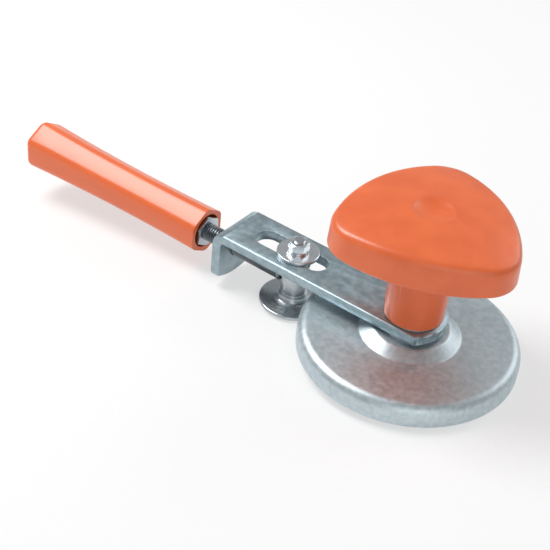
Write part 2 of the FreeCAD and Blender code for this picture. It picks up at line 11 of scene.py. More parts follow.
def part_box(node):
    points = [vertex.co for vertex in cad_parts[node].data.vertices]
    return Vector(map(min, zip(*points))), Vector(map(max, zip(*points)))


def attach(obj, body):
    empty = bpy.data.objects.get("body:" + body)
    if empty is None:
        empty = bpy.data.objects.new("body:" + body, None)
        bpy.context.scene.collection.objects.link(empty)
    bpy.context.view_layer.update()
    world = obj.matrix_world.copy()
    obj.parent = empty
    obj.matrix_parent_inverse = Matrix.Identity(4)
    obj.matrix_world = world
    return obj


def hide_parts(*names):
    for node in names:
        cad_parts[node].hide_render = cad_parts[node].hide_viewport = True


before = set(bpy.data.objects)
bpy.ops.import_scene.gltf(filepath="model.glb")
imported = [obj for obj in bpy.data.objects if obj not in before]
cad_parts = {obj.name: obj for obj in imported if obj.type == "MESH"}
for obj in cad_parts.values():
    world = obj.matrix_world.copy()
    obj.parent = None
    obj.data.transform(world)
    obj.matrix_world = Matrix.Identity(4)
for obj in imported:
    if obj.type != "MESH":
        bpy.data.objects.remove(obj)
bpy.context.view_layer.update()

LOG = logging.getLogger("jar_seamer")
MM = 0.001
ARC_STEP = math.radians(15)     # turn between two points of a rounded corner
MERGE = 0.002 * MM
Corner = tuple[float, float, float]
Colour = tuple[float, float, float, float]


class Body(Enum):
    """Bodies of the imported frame."""

    PRESS = "press"
    LEVER = "lever"
    SLIDER = "slider"
    SCREW = "screw"
    ROLLER = "roller"


class Slot(Enum):
    """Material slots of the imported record."""

    SHEET = "zinc_sheet"
    BRIGHT = "bright_zinc"
    TURNED = "turned_steel"
    DARK = "dark_steel"
    BRONZE = "bronze"
    PLASTIC = "orange_plastic"


class Element(Enum):
    """What edit mode selects."""

    VERTEX = "VERT"
    EDGE = "EDGE"
    FACE = "FACE"


# ---- shader arithmetic ---------------------------------------------------------------
class Sock:
    """Output socket of a shader node, on which arithmetic adds Math nodes."""

    def __init__(self, graph: "Graph", socket: bpy.types.NodeSocket) -> None:
        """Keeps the socket and the graph that it belongs to."""
        self.graph = graph
        self.socket = socket

    def _math(self, operation: str, *values: "Value") -> "Sock":
        """Adds one Math node."""
        return self.graph.add("ShaderNodeMath", {"operation": operation}, dict(enumerate(values)))

    def __add__(self, other: "Value") -> "Sock":
        """Sum."""
        return self._math("ADD", self, other)

    def __sub__(self, other: "Value") -> "Sock":
        """Difference."""
        return self._math("SUBTRACT", self, other)

    def __rsub__(self, other: "Value") -> "Sock":
        """Difference from a number."""
        return self._math("SUBTRACT", other, self)

    def __mul__(self, other: "Value") -> "Sock":
        """Product."""
        return self._math("MULTIPLY", self, other)

    def __pow__(self, other: "Value") -> "Sock":
        """Power."""
        return self._math("POWER", self, other)

    def rising(self, low: float, high: float) -> "Sock":
        """Mask that goes from 0 at low to 1 at high.

        Args:
            low: Value at which the mask leaves 0.
            high: Value at which the mask reaches 1.

        Returns:
            The clamped mask.
        """
        return self.graph.add("ShaderNodeMapRange", {"interpolation_type": "SMOOTHSTEP"},
                              {"Value": self, "From Min": low, "From Max": high})

    __radd__ = __add__
    __rmul__ = __mul__


Value = Union[float, tuple, Sock]


class Graph:
    """Node tree of one material."""

    def __init__(self, name: str) -> None:
        """Makes an empty material with a name."""
        self.material = bpy.data.materials.new(name)
        self.material.use_nodes = True
        self.tree = self.material.node_tree
        self.tree.nodes.clear()
        self.place = self.add("ShaderNodeTexCoord", {}, {}, "Object")

    def add(self, kind: str, settings: dict, inputs: dict, output: Union[int, str] = 0) -> Sock:
        """Adds a node of any type.

        Args:
            kind: Blender's name of the node type.
            settings: Attributes of the node, set before its sockets.
            inputs: Values or links of its sockets, by name or number.
            output: Name or number of the socket that is wanted.

        Returns:
            That output socket.
        """
        node = self.tree.nodes.new(kind)
        for key, value in settings.items():
            setattr(node, key, value)
        for key, value in inputs.items():
            if isinstance(value, Sock):
                self.tree.links.new(value.socket, node.inputs[key])
            else:
                node.inputs[key].default_value = value
        return Sock(self, node.outputs[output])

    def noise(self, size: float, detail: float = 3.0, stretch: Corner = (1.0, 1.0, 1.0)) -> Sock:
        """Noise in object space.

        Args:
            size: Width of its spots in metres.
            detail: Levels of finer noise.
            stretch: How much longer the spots are along each axis.

        Returns:
            The noise, about 0.5 on average.
        """
        scale = tuple(1 / (size * s) for s in stretch)
        where = self.add("ShaderNodeMapping", {}, {"Vector": self.place, "Scale": scale}, "Vector")
        return self.add("ShaderNodeTexNoise", {}, {"Vector": where, "Scale": 1.0, "Detail": detail})

    def spots(self, size: float) -> Sock:
        """Distance field of scattered cells.

        Args:
            size: Width of a cell in metres.

        Returns:
            Distance from the nearest cell's centre, in cells.
        """
        return self.add("ShaderNodeTexVoronoi", {}, {"Vector": self.place, "Scale": 1 / size}, "Distance")

    def tool_marks(self, size: float, axis: Vector, centre: Vector) -> Sock:
        """Fine rings left by a lathe, round an axis.

        Args:
            size: Width of a ring in metres.
            axis: Direction of the axis.
            centre: A point on it.

        Returns:
            Noise that changes along the axis and away from it only.
        """
        arm = self.add("ShaderNodeVectorMath", {"operation": "SUBTRACT"}, {0: self.place, 1: centre[:]})
        along = self.add("ShaderNodeVectorMath", {"operation": "DOT_PRODUCT"}, {0: arm, 1: axis[:]}, "Value")
        across = self.add("ShaderNodeVectorMath", {"operation": "CROSS_PRODUCT"}, {0: arm, 1: axis[:]})
        reach = self.add("ShaderNodeVectorMath", {"operation": "LENGTH"}, {0: across}, "Value")
        return self.add("ShaderNodeTexNoise", {"noise_dimensions": "1D"},
                        {"W": (along + reach) * (1 / size), "Scale": 1.0, "Detail": 2.0})

    def blend(self, factor: Value, first: Value, second: Value) -> Sock:
        """Colour between two colours.

        Args:
            factor: 0 for the first colour, 1 for the second.
            first: First colour.
            second: Second colour.

        Returns:
            The mixed colour.
        """
        return self.add("ShaderNodeMix", {"data_type": "RGBA"}, {0: factor, 6: first, 7: second}, 2)

    def surface(self, varying: dict, height: Sock, depth: float, fixed: dict) -> bpy.types.Material:
        """Closes the material with its shader.

        Args:
            varying: Sockets that change over the surface.
            height: Relief, 0 to 1.
            depth: Height of the relief in metres.
            fixed: Values that are the same all over.

        Returns:
            The finished material.
        """
        bump = self.add("ShaderNodeBump", {}, {"Height": height, "Distance": depth, "Strength": 1.0})
        shader = self.add("ShaderNodeBsdfPrincipled", {}, {**fixed, **varying, "Normal": bump})
        output = self.tree.nodes.new("ShaderNodeOutputMaterial")
        self.tree.links.new(shader.socket, output.inputs["Surface"])
        return self.material


# ---- finishes ------------------------------------------------------------------------
@dataclass(frozen=True)
class PlatedSheet:
    """Zinc-plated rolled sheet: soft cloudy plating over a fine rolling grain."""

    name: str
    light: Colour
    dark: Colour
    roughness: float
    cloud: float = 7 * MM
    grain: float = 0.35 * MM
    run: Corner = (1.0, 1.0, 1.0)
    relief: float = 0.02 * MM
    metal: float = 0.9

    def material(self) -> bpy.types.Material:
        """Builds the node material."""
        graph = Graph(self.name)
        cloud = graph.noise(self.cloud, 5.0)
        grain = graph.noise(self.grain, 3.0, self.run)
        scuff = graph.noise(1.2 * MM, 4.0, (9.0, 1.0, 1.0)).rising(0.64, 0.74)
        tone = cloud.rising(0.3, 0.7) * 0.65 + grain * 0.35
        colour = graph.blend(tone, self.dark, self.light)
        colour = graph.blend(scuff * 0.35, colour, self.light)
        rough = cloud * 0.16 + grain * 0.12 + (self.roughness - 0.14) - scuff * 0.06
        return graph.surface({"Base Color": colour, "Roughness": rough}, grain * 0.7 + cloud * 0.3,
                             self.relief, {"Metallic": self.metal})


@dataclass(frozen=True)
class LatheMetal:
    """Metal turned on a lathe, with rings round its axis and a little handling wear."""

    name: str
    light: Colour
    dark: Colour
    roughness: float
    axis: tuple = (0.0, 0.0, 1.0)
    centre: tuple = (0.0, 0.0, 0.0)
    ring: float = 0.22 * MM
    relief: float = 0.012 * MM
    coat: float = 0.0

    def material(self) -> bpy.types.Material:
        """Builds the node material."""
        graph = Graph(self.name)
        rings = graph.tool_marks(self.ring, Vector(self.axis), Vector(self.centre))
        stain = graph.noise(2.5 * MM, 4.0)
        wear = graph.noise(0.8 * MM, 3.0).rising(0.62, 0.72)
        colour = graph.blend(rings * 0.5 + stain * 0.5, self.dark, self.light)
        colour = graph.blend(wear * 0.4, colour, self.light)
        rough = rings * 0.18 + stain * 0.14 + (self.roughness - 0.16)
        return graph.surface({"Base Color": colour, "Roughness": rough}, rings, self.relief,
                             {"Metallic": 1.0, "Coat Weight": self.coat})


@dataclass(frozen=True)
class MouldedPlastic:
    """Glossy moulded plastic: faint flow clouds, orange-peel skin, fine scuffs from use."""

    name: str
    body: Colour
    deep: Colour
    pale: Colour
    roughness: float = 0.36
    peel: float = 0.9 * MM
    relief: float = 0.018 * MM
    flow: Corner = (1.0, 1.0, 1.0)

    def material(self) -> bpy.types.Material:
        """Builds the node material."""
        graph = Graph(self.name)
        flow = graph.noise(14 * MM, 3.0, self.flow)
        peel = graph.noise(self.peel, 3.0)
        pores = graph.spots(0.5 * MM).rising(0.1, 0.5)
        scuff = graph.noise(0.7 * MM, 4.0, (7.0, 1.0, 2.0)).rising(0.66, 0.76)
        colour = graph.blend(flow.rising(0.25, 0.75), self.deep, self.body)
        colour = graph.blend(scuff * 0.30, colour, self.pale)
        rough = peel * 0.10 + scuff * 0.14 + flow * 0.06 + (self.roughness - 0.08)
        return graph.surface({"Base Color": colour, "Roughness": rough}, peel * 0.75 + pores * 0.25,
                             self.relief, {"Coat Weight": 0.25, "Coat Roughness": 0.25, "IOR": 1.5})


class Paintshop:
    """The seamer's finishes, each built once."""

    def __init__(self) -> None:
        """Builds every finish from where its parts stand."""
        axle = Corners.of("roller_axle")
        screw = Corners.of("feed_screw")
        steel, grey = (0.60, 0.64, 0.66, 1), (0.36, 0.41, 0.44, 1)
        slide = (axle.centre.x, 0.0, 0.0)
        self.disc = PlatedSheet("plated_disc", (0.62, 0.70, 0.73, 1), (0.45, 0.54, 0.58, 1), 0.44,
                                cloud=2.2 * MM, grain=0.5 * MM, relief=0.05 * MM).material()
        self.lever = PlatedSheet("plated_strip", (0.44, 0.54, 0.58, 1), (0.27, 0.36, 0.40, 1), 0.42,
                                 cloud=3 * MM, run=(3.0, 1.0, 1.0)).material()
        self.bright = LatheMetal("bright_plating", (0.80, 0.83, 0.85, 1), (0.60, 0.65, 0.69, 1), 0.26,
                                 centre=slide, ring=0.3 * MM, relief=0.006 * MM).material()
        self.centre = LatheMetal("centre_plating", (0.74, 0.78, 0.80, 1), (0.52, 0.58, 0.62, 1), 0.30,
                                 relief=0.006 * MM).material()
        self.turned = LatheMetal("turned_steel_face", steel, grey, 0.30, centre=slide).material()
        self.screw = LatheMetal("oiled_screw", (0.30, 0.32, 0.34, 1), (0.12, 0.14, 0.16, 1), 0.34,
                                axis=(1.0, 0.0, 0.0), centre=tuple(screw.centre), coat=0.2).material()
        self.nuts = LatheMetal("plated_nuts", (0.62, 0.66, 0.69, 1), (0.38, 0.43, 0.47, 1), 0.30,
                               axis=(1.0, 0.0, 0.0), centre=tuple(screw.centre)).material()
        self.bronze = LatheMetal("bearing_bronze", (0.62, 0.40, 0.18, 1), (0.40, 0.24, 0.10, 1), 0.35,
                                 centre=slide).material()
        orange, deep, pale = (0.78, 0.150, 0.040, 1), (0.70, 0.122, 0.030, 1), (0.86, 0.30, 0.14, 1)
        self.knob = MouldedPlastic("knob_plastic", orange, deep, pale).material()
        self.grip = MouldedPlastic("grip_plastic", orange, deep, pale, flow=(4.0, 1.0, 1.0)).material()


# ---- workbench -----------------------------------------------------------------------
@dataclass(frozen=True)
class Corners:
    """Box of a CAD node at rest."""

    low: Vector
    high: Vector

    @classmethod
    def of(cls, node: str) -> "Corners":
        """Reads the box of a node from the frame."""
        return cls(*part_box(node))

    @property
    def centre(self) -> Vector:
        """Middle of the box."""
        return (self.low + self.high) / 2

    @property
    def size(self) -> Vector:
        """Edges of the box."""
        return self.high - self.low


def rounded(corners: list[Corner]) -> list[tuple[float, float]]:
    """Turns a closed outline with corner radii into points.

    Args:
        corners: (distance from the axis, height, corner radius) in order.

    Returns:
        Points (distance from the axis, height) with each corner's arc.
    """
    points = []
    for i, (r, z, radius) in enumerate(corners):
        here = Vector((r, z))
        before = (Vector(corners[i - 1][:2]) - here).normalized()
        after = (Vector(corners[(i + 1) % len(corners)][:2]) - here).normalized()
        half = before.angle(after) / 2
        if radius <= 0 or half > math.radians(89):
            points.append((r, z))
            continue
        hub = here + (before + after).normalized() * (radius / math.sin(half))
        start = here + before * (radius / math.tan(half)) - hub
        end = here + after * (radius / math.tan(half)) - hub
        swing = start.angle_signed(end)
        steps = max(2, math.ceil(abs(swing) / ARC_STEP))
        for k in range(steps + 1):
            turn = -swing * k / steps
            arm = Vector((start.x * math.cos(turn) - start.y * math.sin(turn),
                          start.x * math.sin(turn) + start.y * math.cos(turn)))
            points.append(tuple(hub + arm))
    return points


class Bench:
    """Blender's modelling operators, as the sub-assemblies use them."""

    @staticmethod
    def clear() -> None:
        """Deselects everything."""
        bpy.ops.object.select_all(action="DESELECT")

    @classmethod
    def hold(cls, piece: bpy.types.Object) -> None:
        """Makes a piece the only selected and active one."""
        cls.clear()
        piece.select_set(True)
        bpy.context.view_layer.objects.active = piece

    @classmethod
    def added(cls, name: str) -> bpy.types.Object:
        """Names the primitive that was just added and applies its place."""
        piece = bpy.context.object
        piece.name = name
        piece.data.name = name
        cls.settle(piece)
        return piece

    @classmethod
    def settle(cls, piece: bpy.types.Object) -> None:
        """Applies a piece's place, turn and scale to its mesh."""
        cls.hold(piece)
        bpy.ops.object.transform_apply(location=True, rotation=True, scale=True)

    @classmethod
    def edit(cls, piece: bpy.types.Object, element: Element = Element.VERTEX) -> None:
        """Opens a piece in edit mode with all of it selected."""
        cls.hold(piece)
        bpy.ops.object.mode_set(mode="EDIT")
        bpy.ops.mesh.select_mode(type=element.value)
        bpy.ops.mesh.select_all(action="SELECT")

    @staticmethod
    def leave() -> None:
        """Leaves edit mode."""
        bpy.ops.object.mode_set(mode="OBJECT")

    @classmethod
    def pick(cls, piece: bpy.types.Object, element: Element, test: Callable[[Vector], bool]) -> None:
        """Opens a piece in edit mode with what passes a test selected.

        Args:
            piece: The piece to edit.
            element: What to select.
            test: Takes the middle of a vertex, edge or face.
        """
        cls.edit(piece, element)
        bpy.ops.mesh.select_all(action="DESELECT")
        cls.leave()
        points = piece.data.vertices
        if element is Element.VERTEX:
            for vertex in points:
                vertex.select = test(vertex.co)
        elif element is Element.EDGE:
            for edge in piece.data.edges:
                edge.select = test((points[edge.vertices[0]].co + points[edge.vertices[1]].co) / 2)
        else:
            for face in piece.data.polygons:
                face.select = test(face.center)
        bpy.ops.object.mode_set(mode="EDIT")

    @classmethod
    def modify(cls, piece: bpy.types.Object, kind: str, **settings: object) -> None:
        """Adds a modifier, sets it and applies it."""
        cls.hold(piece)
        modifier = piece.modifiers.new(kind.lower(), kind)
        for key, value in settings.items():
            setattr(modifier, key, value)
        bpy.ops.object.modifier_apply(modifier=modifier.name)

    @classmethod
    def carve(cls, piece: bpy.types.Object, tool: bpy.types.Object, operation: str) -> None:
        """Cuts, joins or intersects a piece with a tool, which is then thrown away."""
        cls.modify(piece, "BOOLEAN", object=tool, operation=operation, solver="EXACT")
        bpy.data.objects.remove(tool)

    @classmethod
    def clean(cls, piece: bpy.types.Object, crease: float = 32.0) -> None:
        """Merges doubles, points the faces outwards and smooths all but the sharp edges."""
        cls.edit(piece)
        bpy.ops.mesh.remove_doubles(threshold=MERGE)
        bpy.ops.mesh.normals_make_consistent(inside=False)
        cls.leave()
        bpy.ops.object.shade_smooth_by_angle(angle=math.radians(crease))

    @classmethod
    def turn(cls, name: str, corners: list[Corner], x: float = 0.0, steps: int = 96,
             hollow: bool = True) -> bpy.types.Object:
        """Turns a piece on an upright axis: a ring is extruded and resized along the outline.

        Args:
            name: Name of the piece.
            corners: Outline (distance from the axis, height, corner radius).
            x: Where the axis stands.
            steps: Sides of the ring.
            hollow: True for a ring, False for a solid whose outline starts and ends on flat faces.

        Returns:
            The closed piece.
        """
        if hollow:
            points = rounded(corners)
            points.append(points[0])
        else:
            axis_ends = [(0.0, corners[0][1], 0.0), *corners, (0.0, corners[-1][1], 0.0)]
            points = rounded(axis_ends)[1:-1]
        cls.clear()
        bpy.ops.mesh.primitive_circle_add(vertices=steps, radius=points[0][0], location=(x, 0, points[0][1]),
                                          fill_type="NOTHING" if hollow else "NGON")
        piece = cls.added(name)
        cls.edit(piece)
        for (r0, z0), (r1, z1) in zip(points, points[1:]):
            bpy.ops.mesh.extrude_region_move(TRANSFORM_OT_translate={"value": (0, 0, z1 - z0)})
            bpy.ops.transform.resize(value=(r1 / r0, r1 / r0, 1), center_override=(x, 0, z1))
        cls.leave()
        cls.clean(piece)
        return piece

    @classmethod
    def lay(cls, piece: bpy.types.Object, centre: Vector, axis: Vector) -> None:
        """Turns a piece that was made upright at the origin to lie on an axis."""
        piece.matrix_world = Matrix.Translation(centre) @ axis.to_track_quat("Z", "Y").to_matrix().to_4x4()
        cls.settle(piece)

    @classmethod
    def join(cls, pieces: list[bpy.types.Object]) -> bpy.types.Object:
        """Joins pieces into the first of them."""
        cls.clear()
        for piece in pieces:
            piece.select_set(True)
        bpy.context.view_layer.objects.active = pieces[0]
        bpy.ops.object.join()
        return pieces[0]

    @classmethod
    def copy_node(cls, node: str, name: str) -> bpy.types.Object:
        """Copies a CAD node as a clean mesh.

        Args:
            node: Name of the CAD node.
            name: Name of the copy.

        Returns:
            The copy, with merged points and flat faces dissolved.
        """
        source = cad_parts[node]
        piece = bpy.data.objects.new(name, source.data.copy())
        piece.data.name = name
        bpy.context.scene.collection.objects.link(piece)
        piece.data.materials.clear()
        cls.edit(piece)
        bpy.ops.mesh.remove_doubles(threshold=MERGE)
        bpy.ops.mesh.dissolve_limited(angle_limit=math.radians(0.3))
        cls.leave()
        return piece


@dataclass(frozen=True)
class Thread:
    """Metric outside thread."""

    radius: float
    pitch: float
    crest: float = 0.16        # share of the pitch that is flat at the top
    sides: int = 40

    @property
    def depth(self) -> float:
        """Height of the thread's ridge."""
        return 0.6134 * self.pitch

    def rod(self, name: str, length: float) -> bpy.types.Object:
        """Cuts a threaded rod, upright from the origin.

        Args:
            name: Name of the piece.
            length: Length of the rod.

        Returns:
            The rod with flat closed ends.
        """
        Bench.clear()
        middle = self.radius - self.depth / 2
        bpy.ops.mesh.primitive_plane_add(size=1, rotation=(math.pi / 2, 0, 0), location=(middle, 0, 0))
        bpy.context.object.scale = (self.depth, self.pitch, 1)
        piece = Bench.added(name)
        Bench.pick(piece, Element.EDGE, lambda p: p.x < middle - self.depth / 4)
        bpy.ops.mesh.delete(type="EDGE")
        Bench.leave()
        Bench.pick(piece, Element.VERTEX, lambda p: p.x > middle)
        bpy.ops.transform.resize(value=(1, 1, self.crest), center_override=(self.radius, 0, 0))
        Bench.leave()
        turns = math.ceil(length / self.pitch) + 3
        Bench.modify(piece, "SCREW", axis="Z", angle=2 * math.pi, screw_offset=self.pitch, iterations=turns,
                     steps=self.sides, render_steps=self.sides, use_merge_vertices=True,
                     merge_threshold=MERGE)
        for height, side in ((self.pitch * 1.5, -1), (self.pitch * 1.5 + length, 1)):
            Bench.edit(piece)
            bpy.ops.mesh.remove_doubles(threshold=MERGE)
            bpy.ops.mesh.bisect(plane_co=(0, 0, height), plane_no=(0, 0, side), use_fill=True,
                                clear_outer=True, threshold=MERGE)
            Bench.leave()
        piece.location.z = -self.pitch * 1.5
        Bench.settle(piece)
        Bench.clean(piece, 25.0)
        return piece


@dataclass(frozen=True)
class HexHead:
    """Hexagon with its corners turned off on one or both faces."""

    flats: float
    height: float
    both: bool = True
    slope: float = math.radians(28)

    def blank(self, name: str, bore: float = 0.0) -> bpy.types.Object:
        """Makes the hexagon upright from the origin.

        Args:
            name: Name of the piece.
            bore: Radius of its hole, or 0 for none.

        Returns:
            The piece.
        """
        corner = self.flats / math.sqrt(3)
        Bench.clear()
        bpy.ops.mesh.primitive_cylinder_add(vertices=6, radius=corner, depth=self.height,
                                            location=(0, 0, self.height / 2))
        piece = Bench.added(name)
        face = self.flats / 2 * 0.96
        drop = (corner - face) * math.tan(self.slope)
        foot = (face, 0, 0) if self.both else (corner * 1.02, 0, 0)
        outline = [foot, (corner * 1.001, drop if self.both else drop / 2, 0),
                   (corner * 1.001, self.height - drop, 0), (face, self.height, 0)]
        Bench.carve(piece, Bench.turn("turned_blank", outline, hollow=False), "INTERSECT")
        if bore > 0:
            sink = 0.35 * MM
            hole = [(bore + sink, -0.01 * MM, 0), (bore, sink, 0), (bore, self.height - sink, 0),
                    (bore + sink, self.height + 0.01 * MM, 0)]
            Bench.carve(piece, Bench.turn("hole_cutter", hole, hollow=False), "DIFFERENCE")
        Bench.clean(piece, 20.0)
        Bench.modify(piece, "BEVEL", width=0.12 * MM, segments=2, limit_method="ANGLE",
                     angle_limit=math.radians(40), harden_normals=False)
        Bench.clean(piece, 35.0)
        return piece


# ---- sub-assemblies ------------------------------------------------------------------
class Assembly:
    """A group of pieces that stand for CAD nodes."""

    def __init__(self, paint: Paintshop) -> None:
        """Keeps the finishes."""
        self.paint = paint

    def fit(self, piece: bpy.types.Object, node: str, body: Body, slot: Slot,
            finish: bpy.types.Material) -> None:
        """Dresses a piece, puts it on its body and lets it stand for its node.

        Args:
            piece: The finished piece.
            node: CAD node that it replaces.
            body: Body that it moves with.
            slot: Material slot of the record; not used.
            finish: Its material.
        """
        piece.data.materials.clear()
        piece.data.materials.append(finish)
        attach(piece, body.value)
        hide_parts(node)
        LOG.info("%s stands for %s on %s: %d faces", piece.name, node, body.value, len(piece.data.polygons))

    def dress(self, node: str, finish: bpy.types.Material) -> None:
        """Gives a kept CAD node a finish."""
        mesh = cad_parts[node].data
        mesh.materials.clear()
        mesh.materials.append(finish)
        LOG.info("%s keeps its solid", node)

    def ring(self, node: str, name: str, bore: float, edge: float) -> bpy.types.Object:
        """Turns a washer or bush to its node's box.

        Args:
            node: CAD node that gives the outside size.
            name: Name of the piece.
            bore: Radius of the hole.
            edge: Rounding of its edges.

        Returns:
            The ring.
        """
        box = Corners.of(node)
        outer = box.size.y / 2
        low, high = box.low.z, box.high.z
        return Bench.turn(name, [(bore, low, edge / 2), (outer, low, edge / 2), (outer, high, edge),
                                 (bore, high, edge / 2)], box.centre.x)


@dataclass
class PressSet(Assembly):
    """Stamped disc with its bolt, bush and thrust washers."""

    paint: Paintshop
    sheet: float = 2.2 * MM
    shoulder: float = 4.0 * MM
    rim_edge: float = 0.9 * MM
    boss_foot: float = 20.6 * MM
    boss_top: float = 15.8 * MM
    boss_rise: float = 3.6 * MM
    boss_blend: float = 2.0 * MM
    disc_hole: float = 4.3 * MM
    bolt_hole: float = 4.05 * MM
    bush_bore: float = 7.0 * MM
    bolt_flats: float = 13.0 * MM
    bolt_head: float = 4.0 * MM
    thread: Thread = field(default_factory=lambda: Thread(4.0 * MM, 1.25 * MM))

    def disc(self) -> bpy.types.Object:
        """Turns the stamping, with its raised centre and rolled rim."""
        box = Corners.of("press_disc")
        reach, top = box.size.x / 2, box.high.z
        ring_top = top - self.boss_rise
        inward = self.sheet * math.tan(math.atan2(self.boss_rise, self.boss_foot - self.boss_top) / 2)
        inside = self.shoulder - self.sheet
        return Bench.turn("stamped_press_disc", [
            (self.disc_hole, top, 0),
            (self.boss_top, top, self.boss_blend),
            (self.boss_foot, ring_top, self.boss_blend),
            (reach, ring_top, self.shoulder),
            (reach, 0, self.rim_edge),
            (reach - self.sheet, 0, 0.2 * MM),
            (reach - self.sheet, ring_top - self.sheet, inside),
            (self.boss_foot - inward, ring_top - self.sheet, self.boss_blend),
            (self.boss_top - inward, top - self.sheet, self.boss_blend),
            (self.disc_hole, top - self.sheet, 0),
        ], steps=192)

    def bolt(self) -> bpy.types.Object:
        """Makes the hexagon bolt with its thread."""
        box = Corners.of("centre_bolt")
        head = HexHead(self.bolt_flats, self.bolt_head, both=False).blank("threaded_centre_bolt")
        Bench.lay(head, Vector((0, 0, box.low.z + self.bolt_head)), Vector((0, 0, -1)))
        shank = self.thread.rod("bolt_shank", box.size.z - self.bolt_head)
        Bench.lay(shank, Vector((0, 0, box.low.z + self.bolt_head)), Vector((0, 0, 1)))
        return Bench.join([head, shank])

    def build(self) -> None:
        """Builds and dresses the set."""
        paint = self.paint
        self.fit(self.disc(), "press_disc", Body.PRESS, Slot.SHEET, paint.disc)
        self.fit(self.bolt(), "centre_bolt", Body.PRESS, Slot.DARK, paint.centre)
        rings = (
            ("bolt_washer", "bolt_head_washer", self.bolt_hole, 0.25 * MM, Slot.BRIGHT, paint.centre),
            ("pivot_bush", "lever_pivot_bush", self.bolt_hole, 0.3 * MM, Slot.TURNED, paint.centre),
            ("lower_thrust_washer", "lower_thrust_ring", self.bush_bore, 0.25 * MM, Slot.BRIGHT, paint.centre),
            ("upper_thrust_washer", "upper_thrust_ring", self.bolt_hole, 0.25 * MM, Slot.BRIGHT, paint.centre),
        )
        for node, name, bore, edge, slot, finish in rings:
            self.fit(self.ring(node, name, bore, edge), node, Body.PRESS, slot, finish)


@dataclass
class PalmKnob(Assembly):
    """Moulded knob and the threaded insert in its stem."""

    paint: Paintshop
    crease: float = 38.0

    def build(self) -> None:
        """Builds and dresses the knob."""
        knob = Bench.copy_node("palm_knob", "moulded_palm_knob")
        Bench.clean(knob, self.crease)
        self.fit(knob, "palm_knob", Body.PRESS, Slot.PLASTIC, self.paint.knob)
        self.dress("knob_insert", self.paint.centre)


@dataclass
class LeverArm(Assembly):
    """Bent strip lever, its cut edges broken all round."""

    paint: Paintshop
    edge: float = 0.3 * MM

    def build(self) -> None:
        """Builds and dresses the lever."""
        arm = Bench.copy_node("lever_arm", "bent_lever_arm")
        Bench.modify(arm, "BEVEL", width=self.edge, segments=2, limit_method="ANGLE",
                     angle_limit=math.radians(50), use_clamp_overlap=True)
        Bench.clean(arm)
        self.fit(arm, "lever_arm", Body.LEVER, Slot.SHEET, self.paint.lever)


